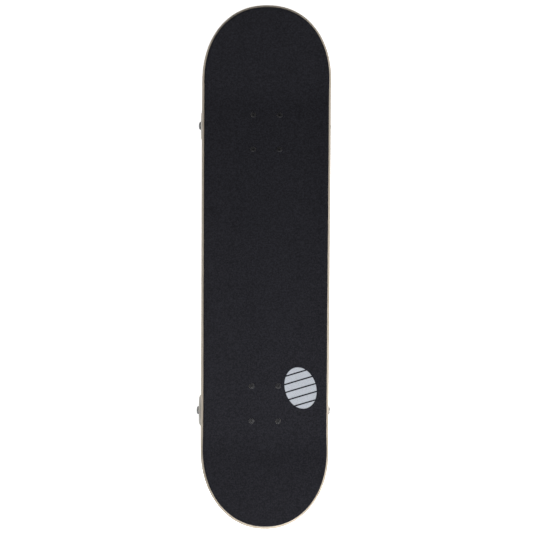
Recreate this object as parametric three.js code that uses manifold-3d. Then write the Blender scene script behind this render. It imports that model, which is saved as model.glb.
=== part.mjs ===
// Street skateboard: a pressed seven-ply maple deck with kicked nose and tail, grip tape,
// two cast kingpin trucks and four wheels on ball bearings.
// Millimetres. +Y points to the nose, +X to the right of someone facing the nose, +Z up.
// The origin is on the ground, under the middle of the deck.

import * as THREE from 'three';
import { mergeVertices } from 'three/addons/utils/BufferGeometryUtils.js';
import Module from 'manifold-3d';

const { clamp, degToRad, mapLinear, smoothstep } = THREE.MathUtils;

// ---- Driving dimensions -------------------------------------------------------------

// Deck
const deckLength = 800;
const deckWidthFront = 202; // at the front truck
const deckWidthRear = 198; // at the rear truck
const deckThickness = 11;
const wheelbase = 368.3; // between the inner bolt rows of the two trucks
const noseLength = 165; // outer bolt row to the tip of the nose
const noseCurveLength = 117; // how far back the nose curve starts
const tailCurveLength = 117;
const noseBluntness = 2.2; // 2 is an ellipse, more is squarer
const tailBluntness = 2.1;
const kickGap = 12; // flat wood left beyond the outer bolt row
const kickRadius = 115;
const kickAngle = degToRad(20.5);
const concaveRise = 9.5; // rails above the flat middle
const flatHalfWidth = 33;
const concaveLeftAtTips = 0.2; // share of the concave that reaches the tips
const edgeRound = 4;

// Grip tape
const gripThickness = 0.9; // trimmed where the edge of the deck starts to round

// Truck bolts: the standard pattern, number ten machine screws with socket heads
const boltSpacingX = 41.275;
const boltSpacingY = 53.975;
const boltDiameter = 4.8;
const boltLength = 25.4;
const boltHeadDiameter = 8.4;
const boltHeadRim = 0.4;
const boltHeadAngle = degToRad(41); // half of the countersink's angle
const boltSocket = 3.2; // across the flats
const boltSocketDepth = 1.9;
const boltHeadSink = 0.2; // head below the top of the grip tape
const boltNutFlats = 9.5;
const boltNutHeight = 5.4;

// Baseplate, measured outboard from the middle of the bolt pattern
const plateWidth = 56;
const plateOutboard = 46;
const plateInboard = 38;
const plateThickness = 6;
const plateCorner = 9;
const plateBevel = 1;

// Kingpin and its stack of washers and bushings, measured down the pin
const kingpinDiameter = 9.5;
const kingpinTilt = degToRad(25);
const kingpinOutboard = 8; // where its centre line meets the underside of the deck
const kingpinHeadTop = 6.5;
const kingpinHeadHeight = 6;
const kingpinHeadFlats = 14.3;
const kingpinTipLength = 2;
const kingpinNutFlats = 14.3;
const kingpinNutHeight = 9;
const seatDepth = 21;
const seatDiameter = 29;
const washerThickness = 1.8;
const boardWasherDiameter = 29;
const roadWasherDiameter = 25;
const boardBushingHeight = 14.4;
const boardBushingDiameter = 27;
const roadBushingHeight = 11;
const roadBushingWide = 25;
const roadBushingNarrow = 20;

// Pivot: the hanger's ball in its urethane cup
const pivotOutboard = 30;
const pivotDepth = 12.5;
const pivotTilt = degToRad(20);
const ballDiameter = 12.2;
const stemDiameter = 10;
const cupWall = 1.9;
const cupMouth = 1.5; // how far the cup reaches below the middle of the ball
const cupHousingWall = 3;

// Hanger and axle
const axleDrop = 53; // top of the baseplate to the middle of the axle
const axleOutboard = 16;
const axleDiameter = 7.94;
const axleLength = 213;
const hangerWidth = 147;
const hangerMiddleDiameter = 21;
const hangerEndDiameter = 16;
const hangerBodyWidth = 38;
const ringThickness = 5.5;
const ringDiameter = 33;
const ringBore = 14;
const wingThickness = 8;

// Wheels, bearings and what holds them
const wheelDiameter = 52;
const wheelWidth = 32;
const wheelFlat = 19; // width of the tread that meets the ground
const wheelSideDiameter = 36; // where the shoulder meets the flat side
const wheelSegments = 32;
const bearingBore = 8;
const bearingDiameter = 22;
const bearingWidth = 7;
const raceDiameter = 12; // outside of the inner race
const spacerDiameter = 10.2;
const spacerLength = 10;
const shoulderDiameter = 18; // hole through the wheel between its two bearings
const speedRing = 1.2;
const axleNutFlats = 12.7;
const axleNutHeight = 5.5;

// Clearances
const seatGap = 0.3; // between pieces clamped together on a tilted or turned pin
const faceGap = 0.05; // between broad flat faces
const boltClearance = 0.4;
const fitClearance = 0.3; // round a pin, in a socket or between inner and outer race

// ---- Places worked out from them ----------------------------------------------------

const halfLength = deckLength / 2;
const noseBoltRow = halfLength - noseLength;
const frontTruckY = noseBoltRow - boltSpacingY / 2;
const rearTruckY = frontTruckY - boltSpacingY - wheelbase;
const tailBoltRow = rearTruckY - boltSpacingY / 2;
const noseKickStart = noseBoltRow + kickGap;
const tailKickStart = tailBoltRow - kickGap;
const spineNose = halfLength - noseCurveLength;
const spineTail = tailCurveLength - halfLength;

const axleHeight = (wheelDiameter / 2) * Math.cos(Math.PI / wheelSegments);
const deckUnderside = axleHeight + axleDrop + faceGap;
const deckMiddle = deckUnderside + deckThickness / 2;
const gripTop = deckUnderside + deckThickness + faceGap + gripThickness;
const trucks = [
  { end: 'front', y: frontTruckY, outboard: 1 },
  { end: 'rear', y: rearTruckY, outboard: -1 },
];
const sides = [
  { side: 'left', sign: -1 },
  { side: 'right', sign: 1 },
];

// Depths down the kingpin, in the order in which the pieces go on it
const boardWasherTop = seatDepth + seatGap;
const boardBushingTop = boardWasherTop + washerThickness + seatGap;
const ringTop = boardBushingTop + boardBushingHeight + seatGap;
const roadBushingTop = ringTop + ringThickness + seatGap;
const roadWasherTop = roadBushingTop + roadBushingHeight + seatGap;
const kingpinNutTop = roadWasherTop + washerThickness + seatGap;
const kingpinEnd = kingpinNutTop + kingpinNutHeight + kingpinTipLength;

// Distances from the middle of the axle, in the order in which the pieces go on it
const sleeveStart = hangerWidth / 2 + seatGap;
const bearingStart = sleeveStart + speedRing;
const wheelMiddle = bearingStart + bearingWidth + spacerLength / 2;
const sleeveEnd = bearingStart + 2 * bearingWidth + spacerLength + speedRing;
const axleNutStart = sleeveEnd + seatGap;

// ---- Colours ------------------------------------------------------------------------

const finish = (color, roughness, metalness) =>
  new THREE.MeshStandardMaterial({ color, roughness, metalness });
const maple = finish(0xcdb58c, 0.45, 0);
const grit = finish(0x29292c, 0.95, 0);
const blackSteel = finish(0x1d1d20, 0.45, 0.6);
const zincSteel = finish(0xb4b6ba, 0.35, 0.9);
const castAluminium = finish(0xb9babd, 0.4, 0.85);
const whiteUrethane = finish(0xe9e6de, 0.5, 0);
const blackUrethane = finish(0x26262a, 0.6, 0);
const bushingUrethane = finish(0x9a2f2a, 0.55, 0);

// ---- Making solids ------------------------------------------------------------------

const wasm = await Module();
wasm.setup();

/** A closed three.js geometry as a solid that can be cut and joined. */
function solid(geometry) {
  const bare = geometry.clone();
  bare.deleteAttribute('normal');
  bare.deleteAttribute('uv');
  const merged = mergeVertices(bare, 1e-4);
  const vertProperties = new Float32Array(merged.attributes.position.array);
  const triVerts = new Uint32Array(merged.index.array);
  return new wasm.Manifold(new wasm.Mesh({ numProp: 3, vertProperties, triVerts }));
}

/** The geometry of a cut or joined solid. */
function geometryOf(body) {
  const { numProp, vertProperties, triVerts } = body.getMesh();
  const geometry = new THREE.BufferGeometry();
  const positions = new THREE.InterleavedBuffer(vertProperties, numProp);
  geometry.setAttribute('position', new THREE.InterleavedBufferAttribute(positions, 3, 0));
  geometry.setIndex(new THREE.BufferAttribute(triVerts, 1));
  return geometry;
}

/** A profile of [radius, height] points turned about Z, its outside running upwards. */
function turned(profile, segments) {
  const points = profile.map(([radius, height]) => new THREE.Vector2(radius, height));
  return new THREE.LatheGeometry(points, segments).rotateX(Math.PI / 2);
}

/** A ring or tube about Z between two heights. */
function ring(inner, outer, bottom, top, segments) {
  const profile = [
    [inner, bottom],
    [outer, bottom],
    [outer, top],
    [inner, top],
    [inner, bottom],
  ];
  return turned(profile, segments);
}

/** A round bar about Z between two heights. */
function bar(radius, bottom, top, segments) {
  return turned([[0, bottom], [radius, bottom], [radius, top], [0, top]], segments);
}

/** A hexagonal bar about Z between two heights. */
function hexBar(flats, bottom, top) {
  const geometry = new THREE.CylinderGeometry(flats / Math.sqrt(3), flats / Math.sqrt(3), top - bottom, 6);
  return geometry.rotateX(Math.PI / 2).translate(0, 0, (top + bottom) / 2);
}

/** A hexagonal nut about Z with a plain bore. */
function nut(flats, bore, bottom, top) {
  const body = solid(hexBar(flats, bottom, top));
  return geometryOf(body.subtract(solid(bar(bore / 2, bottom - 1, top + 1, 12))));
}

function piece(name, geometry, material) {
  const mesh = new THREE.Mesh(geometry, material);
  mesh.name = name;
  return mesh;
}

// ---- Deck and grip tape -------------------------------------------------------------

/** Height of the bend into the nose or tail, a given distance past its start. */
function kickHeight(past) {
  if (past <= 0) return 0;
  const bendLength = kickRadius * Math.sin(kickAngle);
  if (past < bendLength) return kickRadius - Math.sqrt(kickRadius ** 2 - past ** 2);
  return kickRadius * (1 - Math.cos(kickAngle)) + (past - bendLength) * Math.tan(kickAngle);
}

/** Height of the middle ply above the ground. */
function middleHeight(x, y) {
  const halfWidth = Math.max(deckWidthFront, deckWidthRear) / 2;
  const reach = halfWidth - flatHalfWidth;
  const bow = (reach ** 2 + concaveRise ** 2) / (2 * concaveRise);
  const out = clamp(Math.abs(x) - flatHalfWidth, 0, reach);
  const concave = bow - Math.sqrt(bow ** 2 - out ** 2);
  const past = Math.max(y - noseKickStart, tailKickStart - y);
  const left = 1 - (1 - concaveLeftAtTips) * smoothstep(past, 0, noseLength - kickGap);
  return deckMiddle + kickHeight(past) + concave * left;
}

/** A point above or below the middle ply, square to it. */
function offMiddle(x, y, height) {
  const step = 0.01;
  const slopeX = (middleHeight(x + step, y) - middleHeight(x - step, y)) / (2 * step);
  const slopeY = (middleHeight(x, y + step) - middleHeight(x, y - step)) / (2 * step);
  const normal = new THREE.Vector3(-slopeX, -slopeY, 1).normalize();
  return new THREE.Vector3(x, y, middleHeight(x, y)).addScaledVector(normal, height);
}

/** Half the deck's width where its rails are straight. */
function railHalfWidth(y) {
  const along = clamp(y, rearTruckY, frontTruckY);
  return mapLinear(along, rearTruckY, frontTruckY, deckWidthRear, deckWidthFront) / 2;
}

/** The right half of the outline, from the tip of the tail to the tip of the nose. */
function rightOutline() {
  const quarterSteps = 12;
  const quarter = (halfWidth, length, bluntness) =>
    Array.from({ length: quarterSteps + 1 }, (_, step) => {
      const turn = (step / quarterSteps) * (Math.PI / 2);
      const out = step === quarterSteps ? 0 : Math.cos(turn) ** (2 / bluntness);
      return new THREE.Vector2(halfWidth * out, length * Math.sin(turn) ** (2 / bluntness));
    });
  const tail = quarter(railHalfWidth(spineTail), tailCurveLength, tailBluntness)
    .map((point) => new THREE.Vector2(point.x, spineTail - point.y))
    .reverse();
  const nose = quarter(railHalfWidth(spineNose), noseCurveLength, noseBluntness)
    .map((point) => new THREE.Vector2(point.x, spineNose + point.y));
  const bendSteps = 4;
  const rail = [];
  for (let step = 1; step <= bendSteps; step += 1) {
    rail.push(mapLinear(step, 0, bendSteps, spineTail, tailKickStart));
  }
  rail.push(rearTruckY, 0, frontTruckY);
  for (let step = 0; step < bendSteps; step += 1) {
    rail.push(mapLinear(step, 0, bendSteps, noseKickStart, spineNose));
  }
  return [...tail, ...rail.map((y) => new THREE.Vector2(railHalfWidth(y), y)), ...nose];
}

/** The whole outline, anticlockwise from above, with the direction into the deck at each point. */
function deckOutline() {
  const right = rightOutline();
  const left = right.slice(1, -1).reverse().map((point) => new THREE.Vector2(-point.x, point.y));
  const points = [...right, ...left];
  return points.map((point, index) => {
    const before = points[(index + points.length - 1) % points.length];
    const after = points[(index + 1) % points.length];
    const along = new THREE.Vector2().subVectors(after, before).normalize();
    const inward = new THREE.Vector2(-along.y, along.x);
    if (point.x === 0) inward.set(0, -Math.sign(point.y));
    return { point, inward };
  });
}

const outline = deckOutline();
const shares = [0, 0.34, 0.51, 0.67, 0.84, 1]; // from the centre line out to the edge

/** One closed loop of the deck: inset from the outline, drawn in towards the centre line, then raised. */
function deckLoop(inset, share, height) {
  return outline.map(({ point, inward }) => {
    const x = point.x + inward.x * inset;
    const y = point.y + inward.y * inset;
    const spine = clamp(y, spineTail, spineNose);
    return offMiddle(x * share, spine + (y - spine) * share, height);
  });
}

/** The closed skin through a run of loops, the first and last lying on the centre line.
 *  Every four-cornered patch is split the same way seen from above, so skins can nest. */
function skinOver(loops) {
  const positions = loops.flatMap((loop) => loop.flatMap((point) => point.toArray()));
  const count = outline.length;
  const index = [];
  for (let row = 0; row < loops.length - 1; row += 1) {
    const outwards = loops[row + 1][0].y < loops[row][0].y;
    for (let at = 0; at < count; at += 1) {
      const next = (at + 1) % count;
      const [a, b] = [row * count + at, row * count + next];
      if (outwards) index.push(a, b, a + count, b, b + count, a + count);
      else index.push(a, b, b + count, a, b + count, a + count);
    }
  }
  const geometry = new THREE.BufferGeometry();
  geometry.setAttribute('position', new THREE.Float32BufferAttribute(positions, 3));
  geometry.setIndex(index);
  const merged = mergeVertices(geometry, 1e-4);
  const corners = Array.from(merged.index.array);
  const kept = [];
  for (let at = 0; at < corners.length; at += 3) {
    const [a, b, c] = corners.slice(at, at + 3);
    if (a !== b && b !== c && c !== a) kept.push(a, b, c);
  }
  merged.setIndex(kept);
  return merged;
}

const boltPlaces = trucks.flatMap(({ end, y, outboard }) =>
  sides.flatMap(({ side, sign }) => [
    { name: `${end}_outer_${side}`, x: (sign * boltSpacingX) / 2, y: y + (outboard * boltSpacingY) / 2 },
    { name: `${end}_inner_${side}`, x: (sign * boltSpacingX) / 2, y: y - (outboard * boltSpacingY) / 2 },
  ]),
);
const boltHeadTop = gripTop - boltHeadSink;
const boltConeHeight = (boltHeadDiameter - boltDiameter) / 2 / Math.tan(boltHeadAngle);
const boltHeadBottom = boltHeadTop - boltHeadRim - boltConeHeight;

function makeDeck() {
  const half = deckThickness / 2;
  const edgeSteps = 4;
  const edge = Array.from({ length: edgeSteps + 1 }, (_, step) => {
    const turn = mapLinear(step, 0, edgeSteps, -Math.PI / 2, Math.PI / 2);
    return deckLoop(edgeRound * (1 - Math.cos(turn)), 1, half * Math.sin(turn));
  });
  const inner = shares.slice(0, -1);
  const under = inner.map((share) => deckLoop(edgeRound, share, -half));
  const over = inner.map((share) => deckLoop(edgeRound, share, half)).reverse();
  let body = solid(skinOver([...under, ...edge, ...over]));
  const hole = turned(
    [
      [0, deckUnderside - 5],
      [boltDiameter / 2 + boltClearance, deckUnderside - 5],
      [boltDiameter / 2 + boltClearance, boltHeadBottom - boltClearance],
      [boltHeadDiameter / 2 + boltClearance, boltHeadBottom + boltConeHeight - boltClearance],
      [boltHeadDiameter / 2 + boltClearance, gripTop + 5],
      [0, gripTop + 5],
    ],
    12,
  );
  for (const { x, y } of boltPlaces) {
    body = body.subtract(solid(hole.clone().translate(x, y, 0)));
  }
  return geometryOf(body);
}

function makeGripTape() {
  const bottom = deckThickness / 2 + faceGap;
  const under = shares.map((share) => deckLoop(edgeRound, share, bottom));
  const over = shares.map((share) => deckLoop(edgeRound, share, bottom + gripThickness)).reverse();
  let body = solid(skinOver([...under, ...over]));
  const hole = bar(boltHeadDiameter / 2 + boltClearance, deckUnderside, gripTop + 5, 12);
  for (const { x, y } of boltPlaces) {
    body = body.subtract(solid(hole.clone().translate(x, y, 0)));
  }
  return geometryOf(body);
}

const skateboard = new THREE.Group();
skateboard.add(piece('deck', makeDeck(), maple));
skateboard.add(piece('grip_tape', makeGripTape(), grit));

// ---- Truck bolts and their nuts -----------------------------------------------------

function makeBolt() {
  const profile = [
    [0, boltHeadTop - boltLength],
    [boltDiameter / 2, boltHeadTop - boltLength],
    [boltDiameter / 2, boltHeadBottom],
    [boltHeadDiameter / 2, boltHeadBottom + boltConeHeight],
    [boltHeadDiameter / 2, boltHeadTop],
    [0, boltHeadTop],
  ];
  const socket = hexBar(boltSocket, boltHeadTop - boltSocketDepth, boltHeadTop + 1);
  return geometryOf(solid(turned(profile, 12)).subtract(solid(socket)));
}

const plateTop = deckUnderside - faceGap;
const boltNutTop = plateTop - plateThickness - faceGap;
const boltBore = boltDiameter + 2 * fitClearance;
for (const { name, x, y } of boltPlaces) {
  const bolt = piece(`${name}_bolt`, makeBolt(), blackSteel);
  const boltNut = piece(`${name}_nut`, nut(boltNutFlats, boltBore, boltNutTop - boltNutHeight, boltNutTop), zincSteel);
  bolt.position.set(x, y, 0);
  boltNut.position.set(x, y, 0);
  skateboard.add(bolt, boltNut);
}

// ---- Trucks: local +Y points outboard and Z is nought at the top of the baseplate ----

const kingpinPlace = new THREE.Matrix4()
  .makeRotationX(-kingpinTilt)
  .setPosition(0, kingpinOutboard, 0);
const pivotPlace = new THREE.Matrix4()
  .makeRotationX(-pivotTilt)
  .setPosition(0, pivotOutboard, -pivotDepth);
const axlePlace = new THREE.Matrix4()
  .makeRotationY(Math.PI / 2)
  .setPosition(0, axleOutboard, -axleDrop);
const socketRadius = ballDiameter / 2 + fitClearance;
const cupRadius = socketRadius + cupWall;
const cupTop = socketRadius + cupWall;

function makeBaseplate() {
  const [halfWidth, corner] = [plateWidth / 2 - plateBevel, plateCorner - plateBevel];
  const [low, high] = [plateBevel - plateInboard, plateOutboard - plateBevel];
  const shape = new THREE.Shape();
  shape.moveTo(halfWidth, low + corner);
  shape.lineTo(halfWidth, high - corner);
  shape.absarc(halfWidth - corner, high - corner, corner, 0, Math.PI / 2);
  shape.absarc(corner - halfWidth, high - corner, corner, Math.PI / 2, Math.PI);
  shape.absarc(corner - halfWidth, low + corner, corner, Math.PI, 1.5 * Math.PI);
  shape.absarc(halfWidth - corner, low + corner, corner, 1.5 * Math.PI, 2 * Math.PI);
  const plate = new THREE.ExtrudeGeometry(shape, {
    depth: plateThickness - 2 * plateBevel,
    bevelThickness: plateBevel,
    bevelSize: plateBevel,
    bevelSegments: 1,
    curveSegments: 4,
  }).translate(0, 0, plateBevel - plateThickness);

  const seat = turned(
    [[0, -seatDepth], [seatDiameter / 2, -seatDepth], [seatDiameter / 2 + 2, 0], [0, 0]],
    20,
  ).applyMatrix4(kingpinPlace);
  const housing = bar(cupRadius + cupHousingWall, -cupMouth, plateOutboard / 2, 20).applyMatrix4(pivotPlace);
  const ribDepth = pivotDepth;
  const rib = new THREE.BoxGeometry(10, pivotOutboard - kingpinOutboard, ribDepth)
    .translate(0, (pivotOutboard + kingpinOutboard) / 2, -ribDepth / 2);
  const above = new THREE.BoxGeometry(4 * plateWidth, 4 * plateWidth, plateWidth)
    .translate(0, 0, plateWidth / 2);

  const shaft = bar(kingpinDiameter / 2 + fitClearance, -seatDepth - 5, 5, 16).applyMatrix4(kingpinPlace);
  const headDepth = kingpinHeadTop + kingpinHeadHeight + seatGap;
  const headPocket = bar(kingpinHeadFlats / Math.sqrt(3) + fitClearance, -headDepth, 20, 16)
    .applyMatrix4(kingpinPlace);
  const cupPocket = bar(cupRadius + fitClearance, -2 * cupRadius, cupTop + fitClearance, 20)
    .applyMatrix4(pivotPlace);

  let body = solid(plate).add(solid(seat)).add(solid(housing)).add(solid(rib));
  body = body.subtract(solid(above)).subtract(solid(shaft));
  body = body.subtract(solid(headPocket)).subtract(solid(cupPocket));
  const hole = bar(boltDiameter / 2 + boltClearance, -plateThickness - 20, 5, 12);
  for (const { sign } of sides) {
    for (const row of [-1, 1]) {
      const place = hole.clone().translate((sign * boltSpacingX) / 2, (row * boltSpacingY) / 2, 0);
      body = body.subtract(solid(place));
    }
  }
  return geometryOf(body);
}

function makePivotCup() {
  const arcSteps = 5;
  const bowl = Array.from({ length: arcSteps + 1 }, (_, step) => {
    const turn = mapLinear(step, 0, arcSteps, Math.PI / 2, 0);
    return [step === 0 ? 0 : socketRadius * Math.cos(turn), socketRadius * Math.sin(turn)];
  });
  const profile = [
    ...bowl,
    [socketRadius, -cupMouth],
    [cupRadius, -cupMouth],
    [cupRadius, cupTop],
    [0, cupTop],
  ];
  return turned(profile, 20);
}

function makeKingpin() {
  const headBottom = -kingpinHeadTop - kingpinHeadHeight;
  const pin = solid(bar(kingpinDiameter / 2, -kingpinEnd, headBottom + 1, 20));
  return geometryOf(pin.add(solid(hexBar(kingpinHeadFlats, headBottom, -kingpinHeadTop))));
}

/** A bushing about the kingpin with softened rims. */
function makeBushing(top, height, upperDiameter, middleDiameter, lowerDiameter) {
  const bore = kingpinDiameter / 2 + fitClearance;
  const rim = 1.2;
  const profile = [
    [bore, -top - height],
    [lowerDiameter / 2 - rim, -top - height],
    [lowerDiameter / 2, -top - height + rim],
    [middleDiameter / 2, -top - height / 2],
    [upperDiameter / 2, -top - rim],
    [upperDiameter / 2 - rim, -top],
    [bore, -top],
    [bore, -top - height],
  ];
  return turned(profile, 20);
}

/** A cross-section in the truck's middle plane, spread to both sides of it. */
function spread(points, width) {
  const shape = new THREE.Shape(points.map(([outboard, up]) => new THREE.Vector2(outboard, up)));
  const geometry = new THREE.ExtrudeGeometry(shape, { depth: width, bevelEnabled: false });
  const turn = new THREE.Matrix4().makeBasis(
    new THREE.Vector3(0, 1, 0),
    new THREE.Vector3(0, 0, 1),
    new THREE.Vector3(1, 0, 0),
  );
  return geometry.translate(0, 0, -width / 2).applyMatrix4(turn);
}

function makeHanger() {
  const ringBottom = -ringTop - ringThickness;
  const eye = bar(ringDiameter / 2, ringBottom, -ringTop, 20).applyMatrix4(kingpinPlace);
  const yokeLength = ringDiameter / 2 + 5;
  const yoke = new THREE.BoxGeometry(ringDiameter, yokeLength, ringThickness)
    .translate(0, yokeLength / 2, ringBottom + ringThickness / 2)
    .applyMatrix4(kingpinPlace);
  const bore = bar(ringBore / 2, ringBottom - 2, 2 - ringTop, 16).applyMatrix4(kingpinPlace);

  const eyeMiddle = new THREE.Vector3(0, 0, ringBottom + ringThickness / 2).applyMatrix4(kingpinPlace);
  const axleMiddle = new THREE.Vector3(0, axleOutboard, -axleDrop);
  const halfTube = hangerMiddleDiameter / 2;
  const eyeEdge = eyeMiddle.y + (ringDiameter / 2) * Math.cos(kingpinTilt);
  const eyeLow = eyeMiddle.z - (ringDiameter / 2) * Math.sin(kingpinTilt);
  const stemFoot = axleMiddle.z + halfTube * 2;
  const core = spread(
    [
      [eyeEdge - 2, eyeLow - ringThickness / 2],
      [axleMiddle.y - halfTube * 0.6, axleMiddle.z - halfTube * 0.8],
      [axleMiddle.y + halfTube * 0.6, axleMiddle.z - halfTube * 0.8],
      [axleMiddle.y + halfTube, axleMiddle.z],
      [axleMiddle.y + halfTube, stemFoot],
      [axleMiddle.y + halfTube * 0.1, stemFoot],
      [eyeEdge, eyeLow + ringThickness / 2],
    ],
    hangerBodyWidth / 2,
  );

  const toEye = new THREE.Vector2(eyeEdge - axleMiddle.y, eyeLow - axleMiddle.z);
  const wingShape = new THREE.Shape([
    new THREE.Vector2(-hangerWidth / 2 + 6, 0),
    new THREE.Vector2(hangerWidth / 2 - 6, 0),
    new THREE.Vector2(hangerBodyWidth / 2, toEye.length()),
    new THREE.Vector2(-hangerBodyWidth / 2, toEye.length()),
  ]);
  const wing = new THREE.ExtrudeGeometry(wingShape, { depth: wingThickness, bevelEnabled: false })
    .translate(0, 0, -wingThickness / 2)
    .rotateX(Math.atan2(toEye.y, toEye.x))
    .translate(0, axleMiddle.y, axleMiddle.z);

  const tube = turned(
    [
      [0, -hangerWidth / 2],
      [hangerEndDiameter / 2, -hangerWidth / 2],
      [hangerMiddleDiameter / 2, -hangerBodyWidth / 2],
      [hangerMiddleDiameter / 2, hangerBodyWidth / 2],
      [hangerEndDiameter / 2, hangerWidth / 2],
      [0, hangerWidth / 2],
    ],
    20,
  ).applyMatrix4(axlePlace);
  const axleBore = bar(axleDiameter / 2 + fitClearance, -hangerWidth, hangerWidth, 12).applyMatrix4(axlePlace);

  const ballRadius = ballDiameter / 2;
  const stemRadius = stemDiameter / 2;
  const neck = -Math.sqrt(ballRadius ** 2 - stemRadius ** 2);
  const ballSteps = 6;
  const ball = Array.from({ length: ballSteps + 1 }, (_, step) => {
    const turn = mapLinear(step, 0, ballSteps, Math.asin(neck / ballRadius), Math.PI / 2);
    return [step === ballSteps ? 0 : ballRadius * Math.cos(turn), ballRadius * Math.sin(turn)];
  });
  const stemLength = 24;
  const stem = turned(
    [[0, -stemLength], [stemRadius + 4, -stemLength], [stemRadius + 1, -ballDiameter], ...ball],
    16,
  ).applyMatrix4(pivotPlace);

  let body = solid(tube).add(solid(wing)).add(solid(core)).add(solid(stem));
  body = body.add(solid(yoke)).add(solid(eye));
  return geometryOf(body.subtract(solid(bore)).subtract(solid(axleBore)));
}

/** Axle with its ends turned down a little where they are threaded. */
function makeAxle() {
  const [radius, end] = [axleDiameter / 2, axleLength / 2];
  const chamfer = 0.8;
  const profile = [
    [0, -end],
    [radius - chamfer, -end],
    [radius, chamfer - end],
    [radius, end - chamfer],
    [radius - chamfer, end],
    [0, end],
  ];
  return turned(profile, 16);
}

// ---- Wheels and bearings, turned about the axle ---------------------------------------

function makeWheel() {
  const [radius, half] = [wheelDiameter / 2, wheelWidth / 2];
  const [flat, side] = [wheelFlat / 2, wheelSideDiameter / 2];
  const seat = bearingDiameter / 2 + fitClearance / 2;
  const inner = shoulderDiameter / 2;
  const ledge = spacerLength / 2 - faceGap;
  const arcSteps = 4;
  const shoulder = (from, to, sign) =>
    Array.from({ length: arcSteps + 1 }, (_, step) => {
      const turn = mapLinear(step, 0, arcSteps, from, to);
      return [side + (radius - side) * Math.sin(turn), sign * (flat + (half - flat) * Math.cos(turn))];
    });
  const profile = [
    [seat, -half],
    ...shoulder(0, Math.PI / 2, -1),
    ...shoulder(Math.PI / 2, 0, 1),
    [seat, half],
    [seat, ledge],
    [inner, ledge],
    [inner, -ledge],
    [seat, -ledge],
    [seat, -half],
  ];
  return turned(profile, wheelSegments).rotateZ(Math.PI / wheelSegments);
}

/** Outer race with its shields: the part of the bearing that turns with the wheel. */
function makeBearing() {
  return ring(raceDiameter / 2 + fitClearance, bearingDiameter / 2, 0, bearingWidth, 20);
}

/** Inner races, the spacer between them and the thin rings outside them, clamped as one. */
function makeSleeve() {
  const bore = bearingBore / 2 + fitClearance;
  const [race, spacer] = [raceDiameter / 2, spacerDiameter / 2];
  const raceLength = speedRing + bearingWidth;
  const end = sleeveEnd - sleeveStart;
  const profile = [
    [bore, 0],
    [race, 0],
    [race, raceLength],
    [spacer, raceLength],
    [spacer, end - raceLength],
    [race, end - raceLength],
    [race, end],
    [bore, end],
    [bore, 0],
  ];
  return turned(profile, 16);
}

for (const { end, y, outboard } of trucks) {
  const truck = new THREE.Group();
  truck.position.set(0, y, plateTop);
  truck.rotation.z = outboard > 0 ? 0 : Math.PI;

  const baseplate = piece(`${end}_baseplate`, makeBaseplate(), castAluminium);
  const hanger = piece(`${end}_hanger`, makeHanger(), castAluminium);
  const cup = piece(`${end}_pivot_cup`, makePivotCup(), blackUrethane);
  cup.applyMatrix4(pivotPlace);

  const onKingpin = new THREE.Group();
  onKingpin.applyMatrix4(kingpinPlace);
  const bore = kingpinDiameter / 2 + fitClearance;
  const washer = (top, diameter) => ring(bore, diameter / 2, -top - washerThickness, -top, 20);
  const kingpinNut = nut(kingpinNutFlats, 2 * bore, -kingpinNutTop - kingpinNutHeight, -kingpinNutTop);
  const narrow = boardBushingDiameter - 3;
  const boardBushing = makeBushing(
    boardBushingTop, boardBushingHeight, narrow, boardBushingDiameter, narrow,
  );
  const roadBushing = makeBushing(
    roadBushingTop, roadBushingHeight, roadBushingWide,
    (roadBushingWide + roadBushingNarrow) / 2, roadBushingNarrow,
  );
  onKingpin.add(
    piece(`${end}_kingpin`, makeKingpin(), zincSteel),
    piece(`${end}_board_side_washer`, washer(boardWasherTop, boardWasherDiameter), zincSteel),
    piece(`${end}_board_side_bushing`, boardBushing, bushingUrethane),
    piece(`${end}_road_side_bushing`, roadBushing, bushingUrethane),
    piece(`${end}_road_side_washer`, washer(roadWasherTop, roadWasherDiameter), zincSteel),
    piece(`${end}_kingpin_nut`, kingpinNut, zincSteel),
  );

  const onAxle = new THREE.Group();
  onAxle.applyMatrix4(axlePlace);
  onAxle.add(piece(`${end}_axle`, makeAxle(), zincSteel));
  for (const { side, sign } of sides) {
    const corner = `${end}_${side}`;
    const hub = new THREE.Group();
    hub.rotation.x = sign * outboard > 0 ? 0 : Math.PI;
    const wheel = piece(`${corner}_wheel`, makeWheel(), whiteUrethane);
    const inboardBearing = piece(`${corner}_inboard_bearing`, makeBearing(), zincSteel);
    const outboardBearing = piece(`${corner}_outboard_bearing`, makeBearing(), zincSteel);
    const sleeve = piece(`${corner}_bearing_sleeve`, makeSleeve(), zincSteel);
    const axleNut = piece(
      `${corner}_axle_nut`, nut(axleNutFlats, bearingBore + fitClearance, 0, axleNutHeight), zincSteel,
    );
    wheel.position.z = wheelMiddle;
    inboardBearing.position.z = bearingStart;
    outboardBearing.position.z = bearingStart + bearingWidth + spacerLength;
    sleeve.position.z = sleeveStart;
    axleNut.position.z = axleNutStart;
    hub.add(wheel, inboardBearing, outboardBearing, sleeve, axleNut);
    onAxle.add(hub);
  }

  truck.add(baseplate, cup, hanger, onKingpin, onAxle);
  skateboard.add(truck);
}

export default skateboard;
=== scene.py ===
"""A street skateboard, put together as on the bench: the pressed maple deck and its grip tape, the truck
bolts, the two trucks with their bushings, then the wheels on their bearings. Metres throughout: +Y is
the nose, +X the right of someone facing it, and the wheels stand on Z = 0."""

import math

import bpy
from mathutils import Matrix, Vector


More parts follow.
